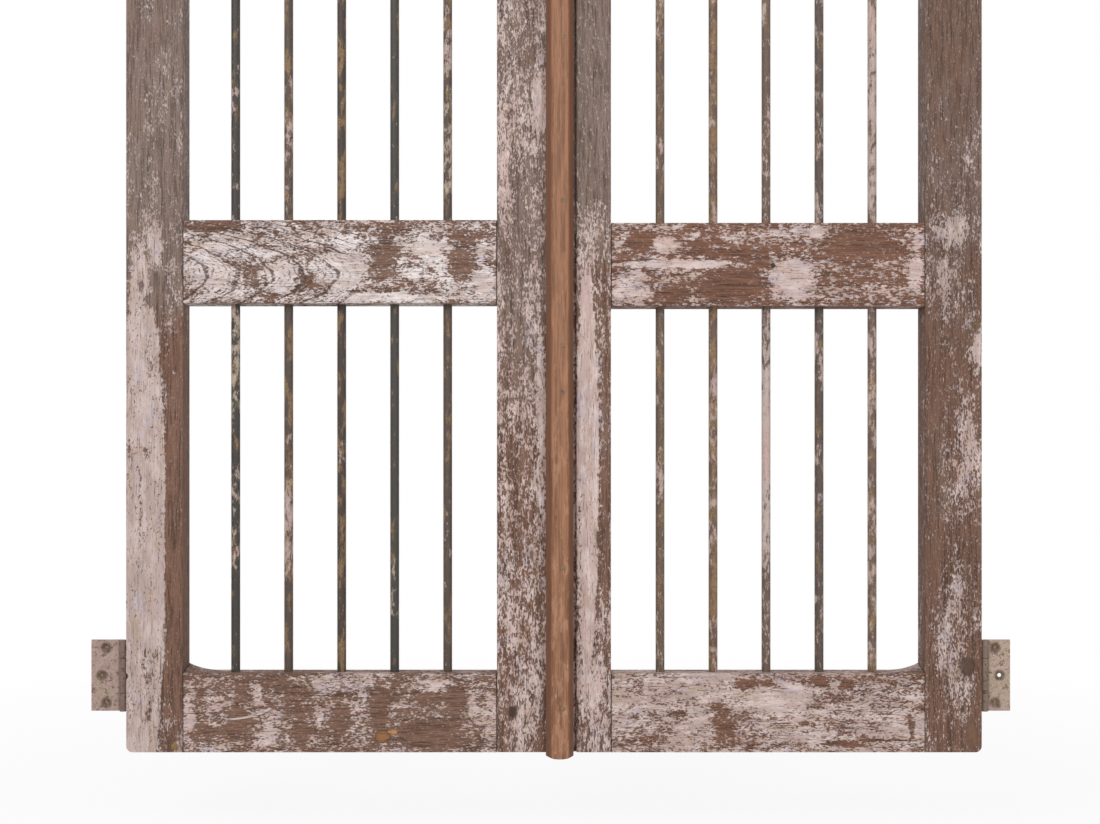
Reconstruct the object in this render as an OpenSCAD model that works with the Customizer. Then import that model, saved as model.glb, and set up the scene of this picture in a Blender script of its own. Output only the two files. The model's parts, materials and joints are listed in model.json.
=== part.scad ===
// Pair of wood and iron garden gate leaves on butt hinges.
// The frame's origin is on the back face of the lower left fixed hinge plate.
// +X runs to the right as seen from the front, +Y runs to the back, +Z is up.

/* [Gate] */
// Height of the stiles
gate_h = 1394; // [1250:2:1600]
// Clear width between the two stiles of one leaf
clear_w = 446.5; // [390:0.5:520]
// Thickness of the stiles and rails
gate_t = 40; // [36:1:48]
// Gap between the meeting stiles of the closed leaves
meeting_gap = 7; // [6.5:0.5:10]

/* [Stiles] */
// Width of each hanging stile
hanging_stile_w = 80; // [72:1:95]
// Width of each meeting stile
meeting_stile_w = 77.5; // [72:0.5:95]
// Radius worn round the outer bottom corner of each hanging stile
foot_r = 9; // [2:1:14]
// Height of the chip in the left hanging stile's edge, beside its lower hinge
chip_h = 11; // [6:0.5:16]
// Width of that chip
chip_w = 4; // [2:0.5:6]

/* [Rails] */
// Height of the bottom rail
bottom_rail_w = 112; // [96:1:130]
// Height of the middle rail
middle_rail_w = 118; // [96:1:130]
// Height of the top rail
top_rail_w = 112; // [96:1:130]
// How much lower the right leaf's middle rail sits
right_rail_drop = 4; // [0:0.5:8]
// Height of the worn ramp at the back, where a bottom rail meets its hanging stile
ramp_h = 10; // [3:0.5:12]
// Length of that ramp
ramp_l = 42; // [20:1:48]

/* [Joinery] */
// Thickness of the tenons
tenon_t = 14; // [10:0.5:18]
// Length of the tenons inside the stiles
tenon_l = 56; // [40:1:66]
// Shoulder above and below each tenon
tenon_shoulder = 14; // [8:1:24]
// Clearance round a tenon in its mortise
tenon_clearance = 0.2; // [0.1:0.05:0.4]
// Room left past the end of a tenon
mortise_spare = 2; // [1:0.5:4]

/* [Bars] */
// Diameter of the bars
bar_d = 12.7; // [10:0.1:16]
// Spacing of the bars, centre to centre
bar_pitch = 76; // [56:0.5:80]
// Radial clearance of the bars in the rails
bar_clearance = 0.15; // [0.05:0.05:0.4]
// Depth of the bar sockets in the top and bottom rails
socket_l = 45; // [25:1:70]
// Room left above the bars in the top rail's sockets
bar_headroom = 2; // [1:0.5:4]

/* [Meeting bead] */
// Width of the bead
bead_w = 39; // [34:0.5:46]
// How far the bead stands out from the front of the stiles
bead_d = 22; // [16:0.5:28]
// How far the bead covers the left leaf's meeting stile
bead_overlap = 8; // [6:0.5:12]
// Clearance between the bead and the left leaf's meeting stile
bead_relief = 5; // [5:0.5:8]
// Width of the chamfer on the bead's left edge
bead_left_chamfer = 10; // [4:0.5:13]
// Width of the chamfer on the bead's right edge
bead_right_chamfer = 8; // [4:0.5:13]
// Depth of both chamfers
bead_chamfer_d = 9; // [4:0.5:10]
// How far the bead runs below the stiles
bead_drop = 6; // [0:0.5:8]
// How far the bead's lower end is worn round
bead_end_round = 4; // [1:0.5:8]
// Width of the groove beside the bead
quirk_w = 4; // [2:0.5:6]
// Depth of the groove beside the bead
quirk_d = 5; // [2:0.5:8]

/* [Hinges] */
// Height of each hinge
hinge_h = 101.6; // [96:0.1:110]
// Height of the hinge centres from the nearer end of the stiles
hinge_inset = 108; // [90:1:140]
// Diameter of the hinge knuckles
knuckle_d = 11; // [10:0.2:12]
// Height of the middle knuckle
middle_knuckle_h = 49; // [40:0.5:54]
// End gap between neighbouring knuckles
knuckle_gap = 0.3; // [0.2:0.05:0.5]
// Clearance between the knuckles and the faces that the plates lie on
knuckle_clearance = 0.5; // [0.3:0.1:1]
// Distance of the hinge axis behind the front face of the gate
hinge_setback = 8; // [6:0.5:9]
// Diameter of the hinge pins
pin_d = 6; // [5:0.1:6.6]
// Radial clearance of the pins in the knuckles
pin_clearance = 0.05; // [0.02:0.01:0.1]
// Thickness of the hinge plates
plate_t = 3; // [2.8:0.1:3.6]
// Reach of the left fixed plates from the hinge axis
left_plate_reach = 47; // [38:0.5:50]
// Reach of the right fixed plates from the hinge axis
right_plate_reach = 38; // [36:0.5:50]
// Reach of the gate plates from the hinge axis
gate_plate_reach = 30; // [27:0.5:31]

/* [Screw holes] */
// Diameter of the screw holes in the plates
screw_d = 5.5; // [4.5:0.1:6]
// Diameter of the countersinks
countersink_d = 12; // [9:0.2:12.4]
// Depth of the countersinks
countersink_depth = 1.8; // [1.2:0.1:2]
// Height of the upper and lower holes from the middle one
screw_pitch = 39; // [34:0.5:40]
// Distance of the upper and lower holes from the fixed plate's free edge
screw_edge = 21.5; // [18:0.5:23]
// Distance of the middle hole from the fixed plate's free edge
middle_screw_edge = 15; // [10:0.5:17]
// Distance of the upper and lower holes from the gate plate's free edge
gate_screw_edge = 13; // [10:0.5:16]
// Distance of the middle hole from the gate plate's free edge
gate_middle_screw_edge = 9; // [7:0.5:12]

/* [Hidden] */
$fn = 48;
bar_count = 5; // in each leaf, each a node of its own
LEFT = -1;
RIGHT = 1;
eps = 1; // how far a cut runs past the face it opens

leaf_w = clear_w + hanging_stile_w + meeting_stile_w;
front_y = -gate_t / 2;
inner_x = meeting_gap / 2;            // meeting edge of a leaf
clear_x = inner_x + meeting_stile_w;  // start of the clear width
outer_x = inner_x + leaf_w;           // outer side face of the hanging stile
hinge_offset = knuckle_d / 2 + knuckle_clearance;
axis_x = outer_x + hinge_offset;
axis_y = front_y + hinge_setback;
lower_hinge_z = hinge_inset;
upper_hinge_z = gate_h - hinge_inset;
middle_rail_z = (gate_h + bottom_rail_w - top_rail_w - middle_rail_w) / 2;
top_rail_z = gate_h - top_rail_w;
bar_hole_d = bar_d + 2 * bar_clearance;
bar_foot_z = bottom_rail_w - socket_l;
bar_head_z = top_rail_z + socket_l - bar_headroom;
end_knuckle_h = (hinge_h - middle_knuckle_h) / 2;
end_knuckles = [[0, end_knuckle_h], [hinge_h - end_knuckle_h, hinge_h]];
middle_knuckle = [[end_knuckle_h, hinge_h - end_knuckle_h]];
bead_x0 = -inner_x - bead_overlap;
bead_x1 = bead_x0 + bead_w;
seat_from_axis = 16;                  // origin's distance from the hinge axis

// Moves the gate's own frame, centred between the leaves, to the part's frame.
module placed() {
    translate([axis_x + seat_from_axis, -axis_y - hinge_offset, -lower_hinge_z]) children();
}

// Builds a right-hand piece on either side of the gate.
module on_side(side) {
    placed() {
        if (side == LEFT) mirror([1, 0, 0]) children();
        else children();
    }
}

// Mortise for one rail's tenon, reaching from the clear width into a stile.
module mortise(rail_w, rail_z, into) {
    depth = tenon_l + mortise_spare;
    x0 = into > 0 ? clear_x + clear_w - eps : clear_x - depth;
    translate([x0, -tenon_t / 2 - tenon_clearance, rail_z + tenon_shoulder - tenon_clearance])
        cube([depth + eps, tenon_t + 2 * tenon_clearance,
              rail_w - 2 * tenon_shoulder + 2 * tenon_clearance]);
}

// The mortises of all three rails in one stile.
module mortises(side, into) {
    mortise(bottom_rail_w, 0, into);
    mortise(middle_rail_w, middle_rail_bottom(side), into);
    mortise(top_rail_w, top_rail_z, into);
}

function middle_rail_bottom(side) = middle_rail_z - (side == RIGHT ? right_rail_drop : 0);
function bar_x(i) = clear_x + clear_w / 2 + (i - (bar_count + 1) / 2) * bar_pitch;

// Hanging stile, with its outer foot worn round.
module hanging_stile(side) {
    color("rosybrown") on_side(side) difference() {
        translate([clear_x + clear_w, front_y, 0]) cube([hanging_stile_w, gate_t, gate_h]);
        mortises(side, 1);
        translate([outer_x - foot_r, front_y - eps, -eps]) difference() {
            cube([foot_r + eps, gate_t + 2 * eps, foot_r + eps]);
            translate([0, 0, foot_r + eps]) rotate([-90, 0, 0])
                cylinder(r = foot_r, h = gate_t + 2 * eps);
        }
        if (side == LEFT) edge_chip();
    }
}

// Chip out of the front outer edge, in front of the hinge's middle knuckle.
module edge_chip() {
    chip_d = hinge_setback - eps;
    translate([outer_x, front_y + chip_d, lower_hinge_z]) rotate([90, 0, 0])
        linear_extrude(chip_d + eps) polygon([
            [eps, -chip_h / 2],
            [eps, chip_h / 2],
            [0, chip_h / 2],
            [-chip_w, 0],
            [0, -chip_h / 2]
        ]);
}

// Meeting stile; the right one has the groove beside the bead.
module meeting_stile(side) {
    color("rosybrown") on_side(side) difference() {
        translate([inner_x, front_y, 0]) cube([meeting_stile_w, gate_t, gate_h]);
        mortises(side, -1);
        if (side == RIGHT)
            translate([bead_x1, front_y - eps, -eps])
                cube([quirk_w, quirk_d + eps, gate_h + 2 * eps]);
    }
}

// Rail body with a tenon at each end.
module rail_blank(rail_w, rail_z) {
    translate([clear_x, front_y, rail_z]) cube([clear_w, gate_t, rail_w]);
    translate([clear_x - tenon_l, -tenon_t / 2, rail_z + tenon_shoulder])
        cube([clear_w + 2 * tenon_l, tenon_t, rail_w - 2 * tenon_shoulder]);
}

// Round holes for the bars over the given heights.
module bar_holes(z0, z1) {
    for (i = [1 : bar_count])
        translate([bar_x(i), 0, z0]) cylinder(d = bar_hole_d, h = z1 - z0);
}

module bottom_rail(side) {
    color("rosybrown") on_side(side) difference() {
        union() {
            rail_blank(bottom_rail_w, 0);
            worn_ramp();
        }
        bar_holes(bar_foot_z, bottom_rail_w + ramp_h + eps);
    }
}

// Radius of an arc that rises by the given height over the given length.
function arc_radius(length, height) = (length * length + height * height) / (2 * height);

// Ramp up to the hanging stile: an arc along the rail, sloping down to nothing at the front.
module worn_ramp() {
    ramp_r = arc_radius(ramp_l, ramp_h);
    x0 = clear_x + clear_w - ramp_l;
    intersection() {
        difference() {
            translate([x0, front_y, bottom_rail_w - eps]) cube([ramp_l, gate_t, ramp_h + eps]);
            translate([x0, front_y - eps, bottom_rail_w + ramp_r]) rotate([-90, 0, 0])
                cylinder(r = ramp_r, h = gate_t + 2 * eps);
        }
        translate([x0 - eps, 0, bottom_rail_w]) rotate([90, 0, 90])
            linear_extrude(ramp_l + 2 * eps)
                polygon([[front_y, 0], [front_y, -eps], [gate_t / 2, -eps], [gate_t / 2, ramp_h]]);
    }
}

module middle_rail(side) {
    z0 = middle_rail_bottom(side);
    color("rosybrown") on_side(side) difference() {
        rail_blank(middle_rail_w, z0);
        bar_holes(z0 - eps, z0 + middle_rail_w + eps);
    }
}

module top_rail(side) {
    color("rosybrown") on_side(side) difference() {
        rail_blank(top_rail_w, top_rail_z);
        bar_holes(top_rail_z - eps, top_rail_z + socket_l);
    }
}

// One iron bar, standing in its socket and running through the middle rail.
module bar(side, i) {
    color("dimgray") on_side(side)
        translate([bar_x(i), 0, bar_foot_z]) cylinder(d = bar_d, h = bar_head_z - bar_foot_z);
}

// Chamfered bead on the right leaf that covers the gap between the leaves.
module meeting_bead() {
    back_y = front_y;
    nose_y = front_y - bead_d;
    side_y = nose_y + bead_chamfer_d;
    end_r = arc_radius(bead_w / 2, bead_end_round);
    color("peru") placed() translate([0, 0, -bead_drop]) difference() {
        linear_extrude(gate_h + bead_drop) polygon([
            [inner_x, back_y],
            [inner_x, back_y - bead_relief],
            [bead_x0, back_y - bead_relief],
            [bead_x0, side_y],
            [bead_x0 + bead_left_chamfer, nose_y],
            [bead_x1 - bead_right_chamfer, nose_y],
            [bead_x1, side_y],
            [bead_x1, back_y]
        ]);
        translate([bead_x0 - eps, nose_y - eps, -eps]) difference() {
            cube([bead_w + 2 * eps, bead_d + 2 * eps, bead_end_round + 2 * eps]);
            translate([bead_w / 2 + eps, -eps, end_r + eps]) rotate([-90, 0, 0])
                cylinder(r = end_r, h = bead_d + 4 * eps, $fn = 96);
        }
    }
}

// Countersunk screw hole through a plate, with its head on the side away from the seat.
module screw_hole(x, z) {
    head_y = hinge_offset - plate_t;
    translate([x, head_y, z]) rotate([-90, 0, 0]) {
        translate([0, 0, -eps]) cylinder(d = screw_d, h = plate_t + 2 * eps);
        cylinder(d1 = countersink_d, d2 = screw_d, h = countersink_depth);
        translate([0, 0, -eps]) cylinder(d = countersink_d, h = eps);
    }
}

// One hinge plate: its axis is the local Z, it reaches along +X, and its seat faces +Y.
module hinge_plate(reach, own, other, outer_edge, middle_edge) {
    notch = hinge_offset;
    difference() {
        union() {
            translate([0, hinge_offset - plate_t, 0]) cube([reach, plate_t, hinge_h]);
            for (k = own)
                translate([0, 0, k[0]]) cylinder(d = knuckle_d, h = k[1] - k[0]);
        }
        for (k = other)
            translate([-knuckle_d, -knuckle_d, k[0] - (k[0] > 0 ? knuckle_gap : eps)])
                cube([knuckle_d + notch, 2 * knuckle_d,
                      k[1] - k[0] + (k[0] > 0 ? knuckle_gap : eps)
                      + (k[1] < hinge_h ? knuckle_gap : eps)]);
        translate([0, 0, -eps]) cylinder(d = pin_d + 2 * pin_clearance, h = hinge_h + 2 * eps);
        for (dz = [-screw_pitch, screw_pitch]) screw_hole(reach - outer_edge, hinge_h / 2 + dz);
        screw_hole(reach - middle_edge, hinge_h / 2);
    }
}

// Places a hinge's own frame on the axis, with its middle at the given height.
module at_hinge(side, z) {
    on_side(side) translate([axis_x, axis_y, z - hinge_h / 2]) children();
}

// Plate that is screwed to the post; it carries the two end knuckles.
module fixed_plate(side, z) {
    reach = side == LEFT ? left_plate_reach : right_plate_reach;
    color("thistle") at_hinge(side, z)
        hinge_plate(reach, end_knuckles, middle_knuckle, screw_edge, middle_screw_edge);
}

// Plate that is screwed to the hanging stile; it carries the middle knuckle.
module gate_plate(side, z) {
    color("thistle") at_hinge(side, z) rotate([0, 0, 90])
        hinge_plate(gate_plate_reach, middle_knuckle, end_knuckles,
                    gate_screw_edge, gate_middle_screw_edge);
}

module hinge_pin(side, z) {
    color("dimgray") at_hinge(side, z) cylinder(d = pin_d, h = hinge_h);
}

fixed_plate(LEFT, lower_hinge_z);  // lower_left_fixed_plate
fixed_plate(LEFT, upper_hinge_z);  // upper_left_fixed_plate
fixed_plate(RIGHT, lower_hinge_z);  // lower_right_fixed_plate
fixed_plate(RIGHT, upper_hinge_z);  // upper_right_fixed_plate
hinge_pin(LEFT, lower_hinge_z);  // lower_left_pin
hinge_pin(LEFT, upper_hinge_z);  // upper_left_pin
hinge_pin(RIGHT, lower_hinge_z);  // lower_right_pin
hinge_pin(RIGHT, upper_hinge_z);  // upper_right_pin
hanging_stile(LEFT);  // left_hanging_stile
meeting_stile(LEFT);  // left_meeting_stile
top_rail(LEFT);  // left_top_rail
middle_rail(LEFT);  // left_middle_rail
bottom_rail(LEFT);  // left_bottom_rail
bar(LEFT, 1);  // left_bar_1
bar(LEFT, 2);  // left_bar_2
bar(LEFT, 3);  // left_bar_3
bar(LEFT, 4);  // left_bar_4
bar(LEFT, 5);  // left_bar_5
gate_plate(LEFT, lower_hinge_z);  // left_lower_gate_plate
gate_plate(LEFT, upper_hinge_z);  // left_upper_gate_plate
hanging_stile(RIGHT);  // right_hanging_stile
meeting_stile(RIGHT);  // right_meeting_stile
top_rail(RIGHT);  // right_top_rail
middle_rail(RIGHT);  // right_middle_rail
bottom_rail(RIGHT);  // right_bottom_rail
bar(RIGHT, 1);  // right_bar_1
bar(RIGHT, 2);  // right_bar_2
bar(RIGHT, 3);  // right_bar_3
bar(RIGHT, 4);  // right_bar_4
bar(RIGHT, 5);  // right_bar_5
gate_plate(RIGHT, lower_hinge_z);  // right_lower_gate_plate
gate_plate(RIGHT, upper_hinge_z);  // right_upper_gate_plate
meeting_bead();
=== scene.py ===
"""Looks of the wood and iron garden gate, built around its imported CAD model.

The frame is in metres: +X right, +Y to the back, +Z up. The looks of each piece are given in
millimetres from the lower left corner of its front face, as seen from the front. On a rail that
corner is at the shoulder, where the rail meets its left stile.
"""
import json
import math
import random

import bmesh
import bpy
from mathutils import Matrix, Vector


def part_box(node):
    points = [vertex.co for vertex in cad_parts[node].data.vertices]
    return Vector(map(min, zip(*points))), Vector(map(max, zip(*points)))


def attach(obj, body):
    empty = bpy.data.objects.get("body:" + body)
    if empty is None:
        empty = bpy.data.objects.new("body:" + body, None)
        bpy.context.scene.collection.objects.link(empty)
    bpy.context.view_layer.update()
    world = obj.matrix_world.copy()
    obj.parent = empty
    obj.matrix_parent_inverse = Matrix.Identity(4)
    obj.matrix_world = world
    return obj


MM = 0.001

# sRGB colours out of 255
PINK_PAINT = (197, 171, 163)
PALE_PAINT = (216, 196, 190)
LILAC_PAINT = (190, 176, 184)
TAN_PAINT = (180, 155, 136)
BROWN_WOOD = (124, 91, 74)
RED_BROWN_WOOD = (126, 87, 68)
DARK_WOOD = (76, 50, 38)
GREY_WOOD = (134, 116, 106)
DARK_GREY_WOOD = (86, 70, 62)
CRACK = (44, 31, 26)
VARNISH = (152, 105, 74)
DARK_VARNISH = (94, 54, 30)
WORN_VARNISH = (178, 134, 104)
RUST = (118, 84, 62)
OCHRE = (150, 124, 82)
OLIVE_PAINT = (170, 160, 132)
DARK_IRON = (62, 56, 51)
BROWN_IRON = (84, 68, 58)
NAIL_IRON = (78, 66, 60)
SCREW_IRON = (92, 70, 56)
IRON_PIT = (40, 33, 30)
RUST_RING = (88, 66, 52)
CREAM_PAINT = (186, 170, 150)
LEFT_PLATE_PAINT = (172, 148, 140)
RIGHT_PLATE_PAINT = (178, 160, 140)
SALMON_PAINT = (184, 158, 150)
PLUG_WOOD = (146, 114, 62)
DARK_PLUG_WOOD = (112, 84, 46)
FLOOR_GREY = (0.92, 0.92, 0.92, 1)  # linear, with alpha

# Hinge plates and their screws. The plates' thickness is that of the CAD model.
PLATE_T = 3 * MM
SCREW_HEAD = dict(radius=2.6 * MM, height=1.0 * MM, root=0.9 * MM)
SCREW_SINK = 1.9 * MM  # from a fixed plate's front to its screws' seats
OPEN_HOLE = ("right", "lower", 2)  # side, level and number of the hole without a screw
GATE_SCREWS = ((13, -39), (9, 0), (13, 39))  # mm in from the back edge, and above the middle

# Nails in the bead, and the plug in the left hanging stile
NAIL_HEAD = dict(radius=3.4 * MM, height=0.8 * MM, root=1.5 * MM)
NAIL_RIGHT_OF_MEETING = 12.6 * MM
NAIL_HEIGHTS = (65, 262, 510, 575, 780, 1010, 1200, 1330)  # mm above the gate's foot
PLUG_CORNER = (68.5 * MM, 8 * MM)  # right of and above the stile's lower left corner
PLUG_R = 5 * MM
PLUG_EDGE = 0.6 * MM  # width of the rounding at its rim
PLUG_ROOT = 3 * MM

TURNED_SIDES = 28
DOME_STEPS = 5
BEVEL_STEPS = 3
BEVEL_ANGLE = math.radians(40)
WELD_REACH = 0.01 * MM

FLOOR_SIZE = 12.0
FLOOR_DROP = 0.12  # the leaves hang above the floor
WORLD_LIGHT = 0.52
KEY_POWER = 48
FILL_POWER = 19

LIGHT_AIM = 0.6  # height above the foot that the lamps point at

CAMERA_DISTANCE = 2.0
CAMERA_LEFT = 0.015  # of the middle
CAMERA_HEIGHT = 0.388  # above the foot
CAMERA_SHIFT = (0.006, 0.061)
FRAME_WIDTH = 1.562  # what the picture shows across at the gate's front
SENSOR_WIDTH = 36
WANDER = 38  # waves per metre in the edges of patches


def linear(rgb):
    """A linear colour with alpha from an sRGB colour out of 255."""
    def channel(value):
        share = value / 255
        return share / 12.92 if share <= 0.04045 else ((share + 0.055) / 1.055) ** 2.4
    return (*[channel(value) for value in rgb], 1.0)


class Graph:
    """A material's node tree, with short calls for the nodes that repeat."""

    def __init__(self, name):
        self.material = bpy.data.materials.new(name)
        self.material.use_nodes = True
        self.nodes = self.material.node_tree.nodes
        self.links = self.material.node_tree.links
        self.shader = self.nodes["Principled BSDF"]
        self.place = self.nodes.new("ShaderNodeTexCoord").outputs["Object"]

    def feed(self, socket, value):
        """Links a socket to another node's output, or sets it to a number."""
        if isinstance(value, bpy.types.NodeSocket):
            self.links.new(value, socket)
        else:
            socket.default_value = value

    def math(self, operation, first, second=0.0):
        node = self.nodes.new("ShaderNodeMath")
        node.operation = operation
        self.feed(node.inputs[0], first)
        self.feed(node.inputs[1], second)
        return node.outputs[0]

    def vector(self, operation, first, second=(0, 0, 0), third=(0, 0, 0)):
        node = self.nodes.new("ShaderNodeVectorMath")
        node.operation = operation
        for socket, value in zip(node.inputs, (first, second, third)):
            self.feed(socket, value)
        return node.outputs["Value"] if operation == "LENGTH" else node.outputs["Vector"]

    def parts(self, vector):
        node = self.nodes.new("ShaderNodeSeparateXYZ")
        self.feed(node.inputs[0], vector)
        return node.outputs

    def noise(self, vector, detail=4.0, roughness=0.6, distortion=0.0, output="Fac"):
        node = self.nodes.new("ShaderNodeTexNoise")
        node.inputs["Scale"].default_value = 1.0
        node.inputs["Detail"].default_value = detail
        node.inputs["Roughness"].default_value = roughness
        node.inputs["Distortion"].default_value = distortion
        self.feed(node.inputs["Vector"], vector)
        return node.outputs[output]

    def step(self, value, low, high, out_low=0.0, out_high=1.0):
        """Maps a value smoothly from low..high to out_low..out_high."""
        node = self.nodes.new("ShaderNodeMapRange")
        node.interpolation_type = "SMOOTHSTEP"
        for socket, number in zip(node.inputs, (value, low, high, out_low, out_high)):
            self.feed(socket, number)
        return node.outputs["Result"]

    def blend(self, share, first, second):
        """Mixes two colours, each an sRGB triple or another node's output."""
        node = self.nodes.new("ShaderNodeMix")
        node.data_type = "RGBA"
        self.feed(node.inputs["Factor"], share)
        for socket, colour in ((node.inputs["A"], first), (node.inputs["B"], second)):
            self.feed(socket, linear(colour) if isinstance(colour, tuple) else colour)
        return node.outputs["Result"]

    def scaled(self, colour, share):
        """Multiplies a colour by a share."""
        node = self.nodes.new("ShaderNodeVectorMath")
        node.operation = "SCALE"
        self.feed(node.inputs[0], colour)
        self.feed(node.inputs["Scale"], share)
        return node.outputs[0]

    def patch(self, place, centre, radii, weight, core):
        """An ellipse seen from the front: weight out to its core, and 0 past its edge."""
        scale = (1 / radii[0], 0.0, 1 / radii[1])
        shift = (-centre[0] / radii[0], 0.0, -centre[1] / radii[1])
        distance = self.vector("LENGTH", self.vector("MULTIPLY_ADD", place, scale, shift))
        return self.step(distance, core, 1.0, weight, 0.0)

    def total(self, values, start=0.0):
        for value in values:
            start = self.math("ADD", start, value)
        return start

    def swing(self, noise, weight):
        """Noise as a swing to both sides of zero."""
        return self.math("MULTIPLY", self.math("SUBTRACT", noise, 0.5), weight)

    def away(self, value, middle):
        """How far a value lies to either side of the middle."""
        return self.math("ABSOLUTE", self.math("SUBTRACT", value, middle))

    def bump(self, height, distance, below=None):
        node = self.nodes.new("ShaderNodeBump")
        node.inputs["Distance"].default_value = distance
        self.feed(node.inputs["Height"], height)
        if below is not None:
            self.feed(node.inputs["Normal"], below)
        return node.outputs["Normal"]

    def finish(self, colour, roughness, normal):
        self.feed(self.shader.inputs["Base Color"], colour)
        self.feed(self.shader.inputs["Roughness"], roughness)
        self.feed(self.shader.inputs["Normal"], normal)
        return self.material


class Timber(Graph):
    """A graph whose noise is drawn out along the grain of one piece of wood."""

    def __init__(self, name, axis, seed, corner):
        super().__init__(name)
        self.axis = axis
        self.shift = (seed * 3.1, seed * 1.7, seed * 2.3)
        self.corner = corner
        wander = self.noise(self.vector("MULTIPLY_ADD", self.place, (WANDER,) * 3, self.shift),
                            detail=4, roughness=0.62, output="Color")
        # how far the edges of patches wander: further along the grain than across it
        reach = (10 * MM, 0, 22 * MM) if axis == "z" else (26 * MM, 0, 11 * MM)
        middle = tuple(-0.5 * r for r in reach)
        self.ragged = self.vector("ADD", self.place,
                                  self.vector("MULTIPLY_ADD", wander, reach, middle))

    def field(self, across, along, **how):
        """Noise with features of the given size in millimetres across and along the grain."""
        wide = 1000 / across
        long = 1000 / along
        scale = (long, wide, wide) if self.axis == "x" else (wide, wide, long)
        return self.noise(self.vector("MULTIPLY_ADD", self.place, scale, self.shift), **how)

    def spot(self, x, z, radius_x, radius_z, weight, core=0.15):
        """A patch given in millimetres from the lower left corner of the piece's front face."""
        centre = (self.corner[0] + x * MM, self.corner[1] + z * MM)
        return self.patch(self.ragged, centre, (radius_x * MM, radius_z * MM), weight, core)

    def arched_lines(self, apex_z, curve, first, spacing, reach):
        """Dark nested lines of arched grain that point right, out to reach from the left end.

        The arches' tips lie apex_z high, the first one at first and the next ones spacing apart.
        """
        x, _, z = self.parts(self.place)
        along = self.math("SUBTRACT", x, self.corner[0])
        up = self.math("SUBTRACT", z, self.corner[1] + apex_z * MM)
        ring = self.math("ADD", along, self.math("MULTIPLY", self.math("MULTIPLY", up, up), curve))
        sway = self.swing(self.field(20, 45, detail=4, roughness=0.6), 0.034)
        ring = self.math("ADD", ring, sway)
        turn = self.math("MULTIPLY", self.math("SUBTRACT", ring, first * MM), 2 * math.pi / (spacing * MM))
        line = self.step(self.math("COSINE", turn), 0.84, 0.96)
        fine = self.step(self.math("COSINE", self.math("MULTIPLY", turn, 5)), 0.50, 0.95, 0.0, 0.80)
        fine = self.math("MULTIPLY", fine, self.step(self.field(7, 16, detail=3), 0.46, 0.54))
        broken = self.step(self.field(3, 6, detail=4, roughness=0.7), 0.38, 0.50, 0.15, 1.0)
        near = self.step(along, reach * MM, (reach - 40) * MM)
        return self.math("MULTIPLY", self.math("MULTIPLY", self.math("MAXIMUM", line, fine), broken), near)

    def scratch(self, x, z, radius, width, x_low, x_high):
        """A thin stroke along a circle about (x, z), between two distances from the left end."""
        centre = (-self.corner[0] - x * MM, 0, -self.corner[1] - z * MM)
        flat = self.vector("MULTIPLY_ADD", self.place, (1, 0, 1), centre)
        off = self.away(self.vector("LENGTH", flat), radius * MM)
        along = self.math("SUBTRACT", self.parts(self.place)[0], self.corner[0])
        inside = self.math("MULTIPLY", self.step(along, (x_low - 8) * MM, (x_low + 8) * MM),
                           self.step(along, (x_high + 8) * MM, (x_high - 8) * MM))
        return self.math("MULTIPLY", self.step(off, width * MM, 0.3 * width * MM), inside)


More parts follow.
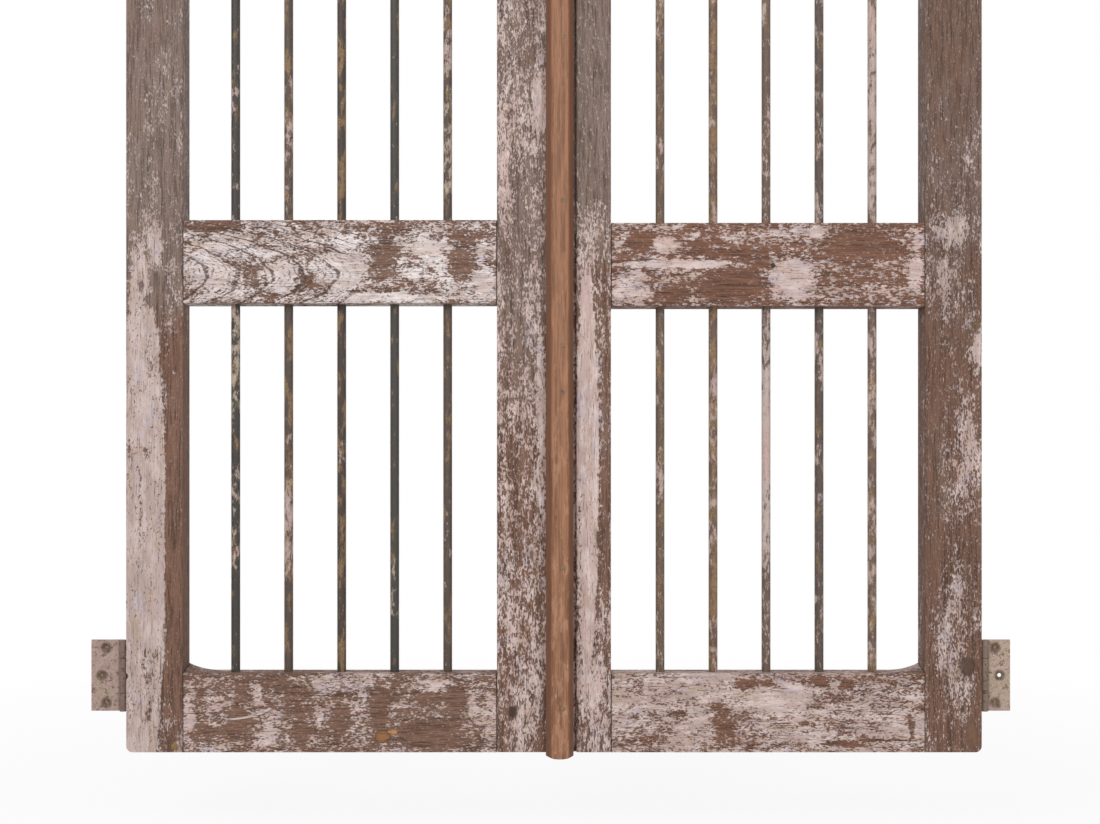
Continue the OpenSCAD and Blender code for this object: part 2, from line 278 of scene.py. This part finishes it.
def painted_wood(name, axis, corner, seed, cover, wood=BROWN_WOOD, paint=PINK_PAINT, tint=PALE_PAINT,
                 patches=(), grey=0.2, grey_patches=(), marks=(), arches=None, scratches=(),
                 knots=(), ends=(), gloom=1.0):
    """Bare weathered timber under thin, rubbed and flaking paint.

    cover is how much paint is left: about -0.6 leaves specks and 0.6 leaves nearly all of it.
    patches add to it, grey_patches to how grey the bare wood is, and marks darken.
    ends are the places along x where a dark joint line crosses the piece.
    """
    g = Timber(name, axis, seed, corner)
    fibre = g.field(1.4, 30, detail=4, roughness=0.70)
    streak = g.field(7, 120, detail=5, roughness=0.65, distortion=0.4)
    cloud = g.field(34, 100, detail=3, roughness=0.6)
    flake = g.field(6.5, 15, detail=8, roughness=0.76, distortion=0.25)
    speck = g.field(2.1, 5.0, detail=3, roughness=0.65)

    # bare wood: brown to grey, with dark grain and cracks
    tone = g.math("ADD", g.math("MULTIPLY", fibre, 0.62), g.math("MULTIPLY", streak, 0.38))
    greyness = g.total([g.spot(*p) for p in grey_patches], grey)
    greyness = g.math("ADD", greyness, g.swing(cloud, 1.2))
    bare = g.blend(g.step(greyness, 0.0, 1.0), wood, GREY_WOOD)
    deep = g.blend(g.step(greyness, 0.0, 1.0), DARK_WOOD, DARK_GREY_WOOD)
    bare = g.blend(g.step(tone, 0.40, 0.56, 0.92, 0.0), bare, deep)
    crack = g.step(g.field(1.5, 44, detail=3, roughness=0.6, distortion=0.3), 0.36, 0.31)

    # where paint is left, as pale dust in the pores too, and where small chips are out of it
    level = g.total([g.spot(*p) for p in patches], cover)
    level = g.total([g.swing(field, weight)
                     for field, weight in ((cloud, 1.5), (flake, 3.0), (speck, 2.4))], level)
    thick = g.step(level, 0.0, 0.40, 0.66, 0.97)
    painted = g.math("MULTIPLY", g.step(level, -0.04, 0.06), thick)
    dust = g.math("MULTIPLY", g.step(speck, 0.57, 0.66), 0.50)
    dust = g.math("MULTIPLY", dust, g.step(level, -1.0, -0.1, 0.25, 1.0))
    chip = g.step(g.field(2.3, 5.2, detail=4, roughness=0.65), 0.615, 0.645)
    chip = g.math("MULTIPLY", chip, g.step(g.field(20, 50, detail=2), 0.38, 0.54, 0.25, 1.0))
    cut = g.math("SUBTRACT", 1.0, g.math("MULTIPLY", chip, 0.92))
    shown = g.math("MULTIPLY", g.math("MAXIMUM", painted, dust), cut)
    # painted shade in the chips: the wood they bare is darkened towards dark wood
    bare = g.blend(g.math("MULTIPLY", chip, 0.55), bare, DARK_WOOD)

    # the paint's own colours
    shade = g.field(14, 40, detail=6, roughness=0.7)
    top = g.blend(g.step(shade, 0.44, 0.60), paint, tint)
    top = g.blend(g.step(g.field(26, 44, detail=3), 0.54, 0.68, 0.0, 0.6), top, LILAC_PAINT)
    top = g.blend(g.step(g.field(10, 60, detail=5), 0.53, 0.64, 0.0, 0.60), top, TAN_PAINT)
    top = g.scaled(top, g.step(tone, 0.38, 0.56, 0.80, 1.05))
    colour = g.blend(shown, bare, top)

    # grain lines, scratches, knots, cracks and joint lines on top
    if arches:
        arched = g.arched_lines(*arches)
        colour = g.blend(g.math("MULTIPLY", arched, 0.88), colour, DARK_WOOD)
    for scratch in scratches:
        colour = g.blend(g.math("MULTIPLY", g.scratch(*scratch), 0.85), colour, PALE_PAINT)
    for x, z, radius_x, radius_z, rim, core in knots:
        colour = g.blend(g.spot(x, z, radius_x * 1.25, radius_z * 1.25, 0.85, 0.55), colour, rim)
        colour = g.blend(g.spot(x, z, radius_x, radius_z, 0.92, 0.5), colour, core)
    colour = g.blend(g.math("MULTIPLY", crack, 0.70), colour, CRACK)
    dark = [g.spot(*p) for p in marks]
    across = g.parts(g.place)[0]
    for x in ends:
        dark.append(g.step(g.away(across, x), 2.2 * MM, 0.7 * MM, 0.0, 0.85))
    if dark:
        colour = g.blend(g.math("MINIMUM", g.total(dark), 0.92), colour, CRACK)
    colour = g.scaled(colour, gloom)

    relief = g.bump(tone, 0.9 * MM)
    lift = g.math("SUBTRACT", shown, g.math("MULTIPLY", crack, 1.6))
    relief = g.bump(lift, 0.45 * MM, relief)
    return g.finish(colour, g.step(shown, 0.0, 1.0, 0.88, 0.70), relief)


def varnished_wood(name, low):
    """The bead: worn varnish, rubbed on its nose, with painted shade on its chamfers."""
    g = Timber(name, "z", 2.0, (low.x, low.z))
    fibre = g.field(1.8, 60, detail=4, roughness=0.65)
    streak = g.field(7, 120, detail=5, roughness=0.65)
    worn = g.field(9, 38, detail=7, roughness=0.74)
    _, depth, height = g.parts(g.place)
    tone = g.math("ADD", g.math("MULTIPLY", fibre, 0.5), g.math("MULTIPLY", streak, 0.5))
    colour = g.blend(g.step(tone, 0.40, 0.58, 0.72, 0.0), VARNISH, DARK_VARNISH)
    lower = g.step(height, low.z + 0.85, low.z + 0.10)
    rubbed = g.math("MULTIPLY", g.step(worn, 0.50, 0.60), g.step(lower, 0.0, 1.0, 0.30, 0.65))
    colour = g.blend(rubbed, colour, WORN_VARNISH)
    scuff = g.math("MULTIPLY", g.step(g.field(5, 16, detail=6, roughness=0.75), 0.60, 0.66),
                   g.step(height, low.z + 0.30, low.z + 0.02, 0.0, 0.75))
    colour = g.blend(scuff, colour, PINK_PAINT)
    # painted shade: the chamfers behind the nose darken towards dark varnish
    chamfer_shade = g.step(depth, low.y + 0.5 * MM, low.y + 3.5 * MM, 0.0, 0.80)
    colour = g.blend(chamfer_shade, colour, DARK_VARNISH)
    crack = g.step(g.field(1.5, 50, detail=3), 0.36, 0.31)
    colour = g.blend(g.math("MULTIPLY", crack, 0.6), colour, CRACK)
    relief = g.bump(tone, 0.8 * MM)
    relief = g.bump(worn, 0.7 * MM, relief)
    return g.finish(colour, g.step(worn, 0.4, 0.65, 0.50, 0.74), relief)


def old_iron(name, seed, iron, paint, cover, rust_cover, zones=(), foot_z=0.0):
    """Rough iron with rust and what is left of its paint.

    zones are (height of the middle, half its length, weight) in millimetres above the gate's foot.
    """
    g = Graph(name)
    shift = (seed * 2.1, seed * 1.0, seed * 1.3)

    def field(size, length, **how):
        scale = (1000 / size, 1000 / size, 1000 / length)
        return g.noise(g.vector("MULTIPLY_ADD", g.place, scale, shift), **how)

    flake = field(7, 17, detail=6, roughness=0.74)
    cloud = field(60, 90, detail=3, roughness=0.6)
    pit = field(1.6, 2.6, detail=3, roughness=0.65)
    rust_field = field(12, 40, detail=5, roughness=0.68)
    height = g.parts(g.place)[2]
    level = cover
    for middle, half, weight in zones:
        off = g.away(height, foot_z + middle * MM)
        level = g.math("ADD", level, g.step(off, 1.2 * half * MM, 0.6 * half * MM, 0.0, weight))
    level = g.total([g.swing(flake, 2.6), g.swing(cloud, 1.2)], level)
    painted = g.math("MULTIPLY", g.step(level, -0.03, 0.12), g.step(level, 0.0, 0.5, 0.65, 0.95))
    rusty = g.step(rust_field, 0.60 - rust_cover, 0.72 - rust_cover, 0.0, 0.8)
    base = g.blend(g.step(pit, 0.36, 0.62, 0.45, 0.0), iron, IRON_PIT)
    base = g.blend(rusty, base, g.blend(g.step(pit, 0.4, 0.6), RUST, OCHRE))
    coat = g.blend(g.step(cloud, 0.45, 0.6), paint, PINK_PAINT)
    coat = g.scaled(coat, g.step(pit, 0.36, 0.62, 0.80, 1.04))
    colour = g.blend(painted, base, coat)
    relief = g.bump(pit, 0.35 * MM)
    relief = g.bump(painted, 0.35 * MM, relief)
    return g.finish(colour, g.step(painted, 0.0, 1.0, 0.58, 0.72), relief)


def painted_plate(name, seed, paint, second, second_cover, holes, knuckle_x):
    """Hinge plate with layers of old paint, rust rings at its holes and painted shade by its knuckles."""
    g = Graph(name)
    shift = (seed * 5.3, seed, seed * 2.9)

    def field(size, **how):
        return g.noise(g.vector("MULTIPLY_ADD", g.place, (1000 / size,) * 3, shift), **how)

    layer = field(20, detail=4)
    chip = field(5, detail=6, roughness=0.72)
    dirt = field(2, detail=3)
    colour = g.blend(g.step(layer, 0.60 - second_cover, 0.68 - second_cover), paint, second)
    colour = g.blend(g.step(dirt, 0.38, 0.60, 0.42, 0.0), colour, BROWN_WOOD)
    bare = g.step(chip, 0.57, 0.61)
    colour = g.blend(g.math("MULTIPLY", bare, 0.8), colour, RUST)
    ring_r = 10.5 * MM
    rings = [g.patch(g.place, hole, (ring_r, ring_r), 0.9, 0.5) for hole in holes]
    ring = g.math("MINIMUM", g.math("MULTIPLY", g.total(rings), g.step(chip, 0.3, 0.6, 0.65, 1.1)), 0.9)
    colour = g.blend(ring, colour, RUST_RING)
    # painted shade: the plate darkens towards dark wood near the knuckle line
    off = g.away(g.parts(g.place)[0], knuckle_x)
    colour = g.blend(g.step(off, 10 * MM, 5 * MM, 0.0, 0.62), colour, DARK_WOOD)
    relief = g.bump(dirt, 0.25 * MM)
    relief = g.bump(g.math("SUBTRACT", 1.0, bare), 0.3 * MM, relief)
    return g.finish(colour, g.step(bare, 0.0, 1.0, 0.58, 0.8), relief)


def dress(node_name, material, bevel=0.0):
    """Gives a CAD node a material and, where it is worn round, a narrow bevel."""
    piece = frame["nodes"][node_name]
    piece.data.materials.clear()
    piece.data.materials.append(material)
    if bevel:
        weld = piece.modifiers.new("weld", "WELD")
        weld.merge_threshold = WELD_REACH
        round_edges = piece.modifiers.new("worn_edges", "BEVEL")
        round_edges.width = bevel
        round_edges.segments = BEVEL_STEPS
        round_edges.limit_method = "ANGLE"
        round_edges.angle_limit = BEVEL_ANGLE


def stile_corner(name):
    """Lower left corner of a stile's front face, as (x, z)."""
    low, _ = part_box(name)
    return low[0], low[2]


def rail_ends(name):
    """The places along x of a rail's two shoulders, where it meets its stiles."""
    side = name.split("_")[0]
    stiles = [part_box(f"{side}_{kind}_stile") for kind in ("hanging", "meeting")]
    (_, left_high), (right_low, _) = sorted(stiles, key=lambda box: box[0][0])
    return left_high[0], right_low[0]


# Patches, grey patches and marks are (x, height, half width, half height, weight), and some end with
# how much of them is hard core, from 0 to 1. Knots are (x, height, half width, half height, rim, core).
# Arches are (height of the tips, curve, first tip, spacing, reach), and scratches are
# (x, height, radius, width, left end, right end).
STILES = {
    "left_hanging_stile": dict(
        seed=1.0, cover=-0.10, grey=0.10, paint=(184, 162, 154), tint=(201, 182, 177),
        patches=[(22, 300, 36, 420, 0.80, 0.86), (72, 330, 19, 330, -0.70, 0.7), (66, 45, 20, 55, 0.20),
                 (19, 330, 6, 125, -0.62, 0.1), (31, 425, 11, 16, -0.60), (35, 222, 8, 36, -0.55),
                 (4, 432, 6, 22, -0.60), (31, 52, 7, 22, -0.60), (30, 70, 42, 120, -0.28),
                 (34, 560, 7, 60, -0.45, 0.2), (68, 540, 10, 14, 0.60), (69, 596, 8, 16, 0.40),
                 (42, 722, 15, 40, 0.75), (14, 690, 18, 75, 0.35), (32, 642, 20, 14, -0.9),
                 (46, 662, 16, 26, -0.8), (20, 662, 9, 20, -0.9), (40, 1100, 90, 380, -0.16, 0.8)],
        grey_patches=[(40, 1060, 120, 500, 0.75, 0.8)]),
    "left_meeting_stile": dict(
        seed=2.0, cover=0.0, grey=0.12,
        patches=[(10, 870, 14, 190, 0.35), (60, 940, 14, 90, 0.40), (36, 780, 22, 110, -0.35),
                 (34, 520, 34, 200, -0.12), (62, 480, 11, 230, 0.45), (36, 130, 50, 190, 0.16)],
        grey_patches=[(40, 950, 120, 420, 0.60, 0.7), (40, 560, 60, 120, 0.30)],
        knots=[(23, 57, 7, 9, (92, 68, 56), (66, 47, 40))]),
    "right_meeting_stile": dict(
        seed=3.0, cover=-0.04, grey=0.20,
        patches=[(44, 400, 18, 330, 0.78, 0.7), (71, 420, 9, 320, -0.50), (54, 745, 20, 60, 0.30),
                 (48, 960, 70, 230, -0.38, 0.7), (52, 80, 32, 90, 0.30), (34, 300, 5, 160, -0.45, 0.2)],
        grey_patches=[(50, 980, 110, 330, 0.65, 0.7)]),
    "right_hanging_stile": dict(
        seed=4.0, cover=-0.24, grey=0.12, gloom=0.92,
        patches=[(32, 742, 38, 44, 0.60), (28, 672, 13, 55, 0.55), (75, 573, 10, 40, 0.6),
                 (58, 430, 28, 140, 0.58), (14, 400, 18, 240, -0.35), (40, 150, 50, 170, 0.30),
                 (40, 1060, 100, 280, -0.20)],
        grey_patches=[(40, 980, 110, 340, 0.35, 0.7)],
        knots=[(60, 121, 11, 13, (58, 42, 36), (98, 72, 58)),
               (66, 27, 8, 22, (104, 76, 60), (124, 92, 72))],
        marks=[(42, 143, 4, 4, 0.9), (34, 646, 3, 3, 0.9), (30, 900, 60, 500, 0.10, 0.8)]),
}
RAILS = {
    "left_middle_rail": dict(
        seed=5.0, cover=0.14, grey=0.22, arches=(38, 32.0, 34, 46, 262),
        paint=(208, 190, 185), tint=(232, 222, 220),
        patches=[(40, 110, 60, 14, -0.6), (38, 44, 44, 48, 0.50), (98, 38, 20, 26, -0.55),
                 (140, 36, 30, 34, 0.85), (168, 84, 84, 24, 0.10), (226, 47, 40, 46, 0.70),
                 (180, 34, 10, 16, -0.6), (208, 52, 10, 10, -0.6), (232, 86, 22, 14, 0.5),
                 (286, 64, 30, 50, -0.70), (344, 78, 28, 22, 0.60), (329, 37, 11, 13, 0.50),
                 (366, 56, 10, 20, 0.30), (398, 66, 26, 56, -0.60), (430, 32, 18, 28, 0.50),
                 (280, 9, 165, 9, 0.55)]),
    "right_middle_rail": dict(
        seed=6.0, cover=-0.10, grey=0.0, wood=RED_BROWN_WOOD,
        patches=[(10, 93, 12, 24, 0.3), (40, 92, 24, 20, -0.8), (79, 86, 23, 18, 0.75),
                 (80, 112, 30, 7, 0.4), (122, 101, 8, 7, 0.8), (125, 84, 24, 14, -0.5),
                 (170, 99, 26, 14, 0.30), (168, 76, 56, 6, -0.7), (100, 60, 130, 9, 1.0),
                 (28, 30, 42, 36, 0.60), (88, 14, 32, 20, -0.7), (170, 28, 60, 30, -1.0),
                 (258, 40, 48, 46, 0.85), (255, 96, 48, 26, 0.30), (290, 105, 16, 10, 0.9),
                 (362, 88, 68, 38, -0.6), (375, 18, 80, 24, 0.12), (434, 58, 15, 66, 0.65)],
        marks=[(229, 57, 4.5, 4.2, 1.2, 0.7), (44, 64, 50, 2.4, 0.9)]),
    "left_bottom_rail": dict(
        seed=7.0, cover=-0.06, grey=0.0, wood=(128, 96, 79),
        patches=[(8, 56, 14, 60, 0.70), (45, 70, 28, 46, 0.22), (82, 50, 15, 30, -0.80),
                 (108, 86, 14, 28, 0.80), (123, 42, 27, 46, 0.42), (168, 30, 19, 38, -0.65),
                 (205, 98, 60, 16, 0.40), (193, 58, 9, 30, 0.35), (223, 44, 22, 34, -0.50),
                 (255, 78, 11, 32, 0.42), (279, 60, 14, 56, -0.85), (315, 68, 23, 21, 0.38),
                 (352, 93, 19, 16, 0.40), (350, 25, 62, 30, -0.80), (388, 76, 20, 34, -0.70),
                 (414, 68, 11, 24, 0.55), (440, 74, 8, 24, 0.35)],
        scratches=[(62, 197, 150, 2.0, 66, 122)],
        knots=[(284, 22, 13, 9, (92, 62, 42), (152, 106, 68)),
               (301, 28, 9, 4, (128, 88, 56), (192, 140, 88))]),
    "right_bottom_rail": dict(
        seed=8.0, cover=0.20, grey=0.0, wood=RED_BROWN_WOOD, paint=(190, 166, 158),
        patches=[(117, 88, 26, 11, 0.50), (190, 96, 26, 12, -0.85), (160, 42, 25, 42, -0.48),
                 (95, 55, 22, 9, -0.55), (60, 22, 60, 16, -0.25), (222, 98, 20, 5, -0.6),
                 (238, 76, 56, 28, 0.60), (296, 100, 14, 12, -0.80), (334, 96, 18, 13, -0.85),
                 (274, 42, 9, 6, -1.0), (320, 60, 90, 30, 0.12), (333, 12, 38, 6, -1.3),
                 (385, 17, 52, 2.6, -1.1), (427, 36, 8, 24, -0.7), (48, 92, 4, 16, 0.9)]),
    "left_top_rail": dict(seed=9.0, cover=-0.15, grey=0.6),
    "right_top_rail": dict(seed=10.0, cover=-0.15, grey=0.4),
}


def dress_wood():
    """Painted wood on the stiles and rails, and varnish on the bead."""
    for name, look in STILES.items():
        dress(name, painted_wood(name + "_wood", "z", stile_corner(name), **look), bevel=1.6 * MM)
    for name, look in RAILS.items():
        ends = rail_ends(name)
        corner = (ends[0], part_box(name)[0][2])
        dress(name, painted_wood(name + "_wood", "x", corner, ends=ends, **look), bevel=1.2 * MM)
    low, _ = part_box("meeting_bead")
    dress("meeting_bead", varnished_wood("bead_varnish", Vector(low)), bevel=2.2 * MM)


# Bars are numbered from the meeting stiles outward: (iron, paint, cover, rust cover, zones), where
# a zone is (height of its middle, half its length, weight) in millimetres above the gate's foot.
BARS = {
    "left_bar_5": (DARK_IRON, CREAM_PAINT, -0.30, 0.06, [(560, 90, 0.40), (330, 90, 0.25), (880, 120, 0.12)]),
    "left_bar_4": (BROWN_IRON, OCHRE, -0.34, 0.12, [(330, 80, 0.40), (880, 120, 0.22)]),
    "left_bar_3": ((64, 51, 44), CREAM_PAINT, -0.48, 0.12, [(420, 30, 0.30), (900, 150, -0.1)]),
    "left_bar_2": ((64, 60, 54), CREAM_PAINT, -0.42, 0.05, [(230, 50, 0.42), (880, 150, 0.10)]),
    "left_bar_1": (BROWN_IRON, CREAM_PAINT, -0.36, 0.08, [(900, 150, 0.42), (150, 90, 0.15)]),
    "right_bar_1": ((104, 84, 70), CREAM_PAINT, -0.05, 0.10, [(900, 150, -0.15)]),
    "right_bar_2": ((104, 80, 66), (184, 160, 146), -0.10, 0.16, [(450, 120, 0.10)]),
    "right_bar_3": ((108, 86, 74), (196, 180, 172), 0.00, 0.08, [(430, 170, 0.35), (900, 150, -0.12)]),
    "right_bar_4": ((88, 73, 64), (174, 156, 142), -0.14, 0.08, [(880, 150, 0.10)]),
    "right_bar_5": ((110, 88, 76), (192, 172, 164), 0.00, 0.12, [(900, 150, 0.25)]),
}


def screw_places(side, level):
    """Where a fixed plate's three screws go, as (x, z), from the record's mounts."""
    mounts = {mount["name"]: mount for mount in frame["record"]["mounts"]}
    outer = mounts[f"{level}_{side}_outer_screws"]
    middle = mounts[f"{side}_middle_screws"]
    x, _, z = outer["pos_m"]
    half = outer["dims"]["spacing_y_mm"] / 2 * MM
    return [(x, z - half), (middle["pos_m"][0], z), (x, z + half)]


def dress_iron():
    """Rusty iron on the bars and pins, and old paint on the hinge plates."""
    for seed, (name, (iron, paint, cover, rust_cover, zones)) in enumerate(BARS.items(), 1):
        dress(name, old_iron(name + "_iron", seed, iron, paint, cover, rust_cover, zones, FOOT_Z))
    joints = {joint["name"]: joint for joint in frame["joints"]}
    pin = old_iron("pin_iron", 31, BROWN_IRON, RUST, -0.6, 0.2)
    plates = {"left": (LEFT_PLATE_PAINT, OLIVE_PAINT, 0.02),
              "right": (RIGHT_PLATE_PAINT, SALMON_PAINT, 0.10)}
    for side, (paint, second, second_cover) in plates.items():
        axis_x = joints[f"{side}_leaf_hinge"]["pos_m"][0]
        for seed, level in enumerate(("lower", "upper"), 1):
            holes = screw_places(side, level)
            coat = painted_plate(f"{level}_{side}_plate_paint", seed, paint, second, second_cover,
                                 holes, axis_x)
            dress(f"{level}_{side}_fixed_plate", coat, bevel=0.5 * MM)
            dress(f"{side}_{level}_gate_plate", coat, bevel=0.5 * MM)
            dress(f"{level}_{side}_pin", pin)


def lathe(name, profile, place, direction, rough=0.0):
    """A closed turned piece: profile is (radius, height along direction), from back to front."""
    mesh = bmesh.new()
    ways = random.Random(name)
    rings = []
    for radius, height in profile:
        count = TURNED_SIDES if radius else 1
        ring = []
        for i in range(count):
            turn = 2 * math.pi * i / TURNED_SIDES
            wobble = 1 + rough * ways.uniform(-1, 1)
            ring.append(mesh.verts.new((radius * wobble * math.cos(turn),
                                        radius * wobble * math.sin(turn), height)))
        rings.append(ring)
    for lower, upper in zip(rings, rings[1:]):
        for i in range(TURNED_SIDES):
            j = (i + 1) % TURNED_SIDES
            corners = [lower[i % len(lower)], lower[j % len(lower)],
                       upper[j % len(upper)], upper[i % len(upper)]]
            mesh.faces.new(list(dict.fromkeys(corners)))
    data = bpy.data.meshes.new(name)
    mesh.to_mesh(data)
    mesh.free()
    data.shade_smooth()
    piece = bpy.data.objects.new(name, data)
    bpy.context.collection.objects.link(piece)
    placing = Vector(direction).to_track_quat("Z", "Y").to_matrix().to_4x4()
    placing.translation = place
    data.transform(placing)
    return piece


def dome(radius, height, root):
    """Profile of a low dome whose back reaches root below its seat."""
    turns = [math.pi / 2 * i / DOME_STEPS for i in range(DOME_STEPS)]
    arc = [(radius * math.cos(turn), height * math.sin(turn)) for turn in turns]
    return [(0, -root), (radius, -root), *arc, (0, height)]


def add_piece(piece, body, material):
    """Gives a piece its material and says which body it rides on."""
    piece.data.materials.append(material)
    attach(piece, body)


def nail_bead():
    """Nail heads down the flat of the bead."""
    low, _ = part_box("meeting_bead")
    iron = old_iron("nail_iron", 41, NAIL_IRON, RUST, -0.4, 0.25)
    across = CENTRE_X + NAIL_RIGHT_OF_MEETING
    for i, height in enumerate(NAIL_HEIGHTS, 1):
        place = (across, low[1], FOOT_Z + height * MM)
        nail = lathe(f"bead_nail_{i}", dome(**NAIL_HEAD), place, (0, -1, 0), rough=0.06)
        add_piece(nail, "right_leaf", iron)


def screw_fixed_plate(side, level, iron):
    """Rusted screws, sunk into the front of a fixed plate."""
    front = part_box(f"{level}_{side}_fixed_plate")[1][1] - PLATE_T
    for i, (x, z) in enumerate(screw_places(side, level), 1):
        if (side, level, i) == OPEN_HOLE:
            continue
        place = (x, front + SCREW_SINK, z)
        screw = lathe(f"{level}_{side}_screw_{i}", dome(**SCREW_HEAD), place, (0, -1, 0), rough=0.08)
        add_piece(screw, "root", iron)


def screw_gate_plate(side, level, iron):
    """Screw heads on the outer side of a plate that is fixed to a hanging stile."""
    low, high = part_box(f"{side}_{level}_gate_plate")
    seat, out = (high[0] - PLATE_T, -1) if side == "left" else (low[0] + PLATE_T, 1)
    middle = (low[2] + high[2]) / 2
    for i, (edge, rise) in enumerate(GATE_SCREWS, 1):
        place = (seat, high[1] - edge * MM, middle + rise * MM)
        screw = lathe(f"{side}_{level}_gate_screw_{i}", dome(**SCREW_HEAD), place, (out, 0, 0), rough=0.05)
        add_piece(screw, f"{side}_leaf", iron)


def screw_plates():
    """Screws in all eight hinge plates."""
    iron = old_iron("screw_iron", 43, SCREW_IRON, RUST, -0.5, 0.35)
    for side in ("left", "right"):
        for level in ("lower", "upper"):
            screw_fixed_plate(side, level, iron)
            screw_gate_plate(side, level, iron)


def plug_foot():
    """Round ochre plug low in the left hanging stile."""
    low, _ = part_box("left_hanging_stile")
    g = Graph("plug_wood")
    grain = g.noise(g.vector("MULTIPLY_ADD", g.place, (700, 700, 700), (1, 2, 3)), detail=4)
    colour = g.blend(g.step(grain, 0.35, 0.65), DARK_PLUG_WOOD, PLUG_WOOD)
    wood = g.finish(colour, 0.7, g.bump(grain, 0.3 * MM))
    right, up = PLUG_CORNER
    place = (low[0] + right, low[1], low[2] + up)
    profile = [(0, -PLUG_ROOT), (PLUG_R, -PLUG_ROOT), (PLUG_R, 0.1 * MM),
               (PLUG_R - PLUG_EDGE, 0.5 * MM), (0, 0.6 * MM)]
    add_piece(lathe("foot_plug", profile, place, (0, -1, 0)), "left_leaf", wood)


def seen_rays(tree):
    """1 for the rays that show a surface to the camera, directly, mirrored or through glass."""
    path = tree.nodes.new("ShaderNodeLightPath")
    seen = path.outputs["Is Camera Ray"]
    for ray in ("Is Glossy Ray", "Is Transmission Ray"):
        either = tree.nodes.new("ShaderNodeMath")
        either.operation = "MAXIMUM"
        tree.links.new(seen, either.inputs[0])
        tree.links.new(path.outputs[ray], either.inputs[1])
        seen = either.outputs[0]
    return seen


def lay_floor(centre, foot_z, front_y):
    """A floor that looks white far from the gate, and keeps a faint shadow near it."""
    bpy.ops.mesh.primitive_plane_add(size=FLOOR_SIZE, location=(centre, front_y, foot_z - FLOOR_DROP))
    floor = bpy.context.object
    floor.name = "floor"
    g = Graph("pale_floor")
    g.feed(g.shader.inputs["Base Color"], FLOOR_GREY)
    g.shader.inputs["Roughness"].default_value = 0.9
    white = g.nodes.new("ShaderNodeEmission")
    mix = g.nodes.new("ShaderNodeMixShader")
    whiteness = g.step(g.vector("LENGTH", g.place), 0.5, 2.4, 0.88, 1.0)
    g.feed(mix.inputs[0], g.math("MULTIPLY", seen_rays(g.material.node_tree), whiteness))
    g.feed(mix.inputs[1], g.shader.outputs[0])
    g.feed(mix.inputs[2], white.outputs[0])
    g.links.new(mix.outputs[0], g.nodes["Material Output"].inputs["Surface"])
    floor.data.materials.append(g.material)


def surround():
    """White surroundings that light the gate softly."""
    world = bpy.data.worlds.new("soft_world")
    bpy.context.scene.world = world
    world.use_nodes = True
    tree = world.node_tree
    back = tree.nodes["Background"]
    back.inputs["Color"].default_value = (1, 1, 1, 1)
    strength = tree.nodes.new("ShaderNodeMapRange")
    strength.inputs["To Min"].default_value = WORLD_LIGHT
    strength.inputs["To Max"].default_value = 1.0
    tree.links.new(seen_rays(tree), strength.inputs["Value"])
    tree.links.new(strength.outputs["Result"], back.inputs["Strength"])


def hang_lamps(centre, foot_z, front_y):
    """A key lamp on the left and a weaker fill lamp on the right, both in front of the gate."""
    target = Vector((centre, front_y, foot_z + LIGHT_AIM))
    for name, place, size, power in (
            ("key", (centre - 1.2, front_y - 2.6, foot_z + 2.3), 1.8, KEY_POWER),
            ("fill", (centre + 1.8, front_y - 2.4, foot_z + 0.9), 2.0, FILL_POWER)):
        lamp = bpy.data.lights.new(name, "AREA")
        lamp.energy = power
        lamp.size = size
        holder = bpy.data.objects.new(name, lamp)
        bpy.context.collection.objects.link(holder)
        holder.location = place
        aim = target - holder.location
        holder.rotation_euler = aim.to_track_quat("-Z", "Y").to_euler()


def place_camera(centre, foot_z, front_y):
    """A level camera in front of the closed leaves, a little left of their meeting line."""
    camera = bpy.data.cameras.new("camera")
    camera.sensor_width = SENSOR_WIDTH
    camera.lens = SENSOR_WIDTH * CAMERA_DISTANCE / FRAME_WIDTH
    camera.shift_x, camera.shift_y = CAMERA_SHIFT
    holder = bpy.data.objects.new("camera", camera)
    bpy.context.collection.objects.link(holder)
    holder.location = (centre - CAMERA_LEFT, front_y - CAMERA_DISTANCE, foot_z + CAMERA_HEIGHT)
    holder.rotation_euler = (math.radians(90), 0, 0)
    bpy.context.scene.camera = holder


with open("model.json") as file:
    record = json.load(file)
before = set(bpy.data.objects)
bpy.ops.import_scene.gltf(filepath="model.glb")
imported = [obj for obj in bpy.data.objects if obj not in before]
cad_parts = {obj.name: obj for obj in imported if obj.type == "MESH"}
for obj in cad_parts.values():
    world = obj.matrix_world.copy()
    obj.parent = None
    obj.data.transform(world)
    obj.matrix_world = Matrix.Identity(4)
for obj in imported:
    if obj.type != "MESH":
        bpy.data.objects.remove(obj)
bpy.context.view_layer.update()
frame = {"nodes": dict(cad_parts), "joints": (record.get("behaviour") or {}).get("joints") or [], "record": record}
bpy.context.scene.view_settings.view_transform = "Standard"

left_low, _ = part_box("left_hanging_stile")
_, right_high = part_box("right_hanging_stile")
CENTRE_X = (left_low[0] + right_high[0]) / 2
FOOT_Z = left_low[2]
FRONT_Y = left_low[1]

dress_wood()
dress_iron()
nail_bead()
screw_plates()
plug_foot()
lay_floor(CENTRE_X, FOOT_Z, FRONT_Y)
surround()
hang_lamps(CENTRE_X, FOOT_Z, FRONT_Y)
place_camera(CENTRE_X, FOOT_Z, FRONT_Y)
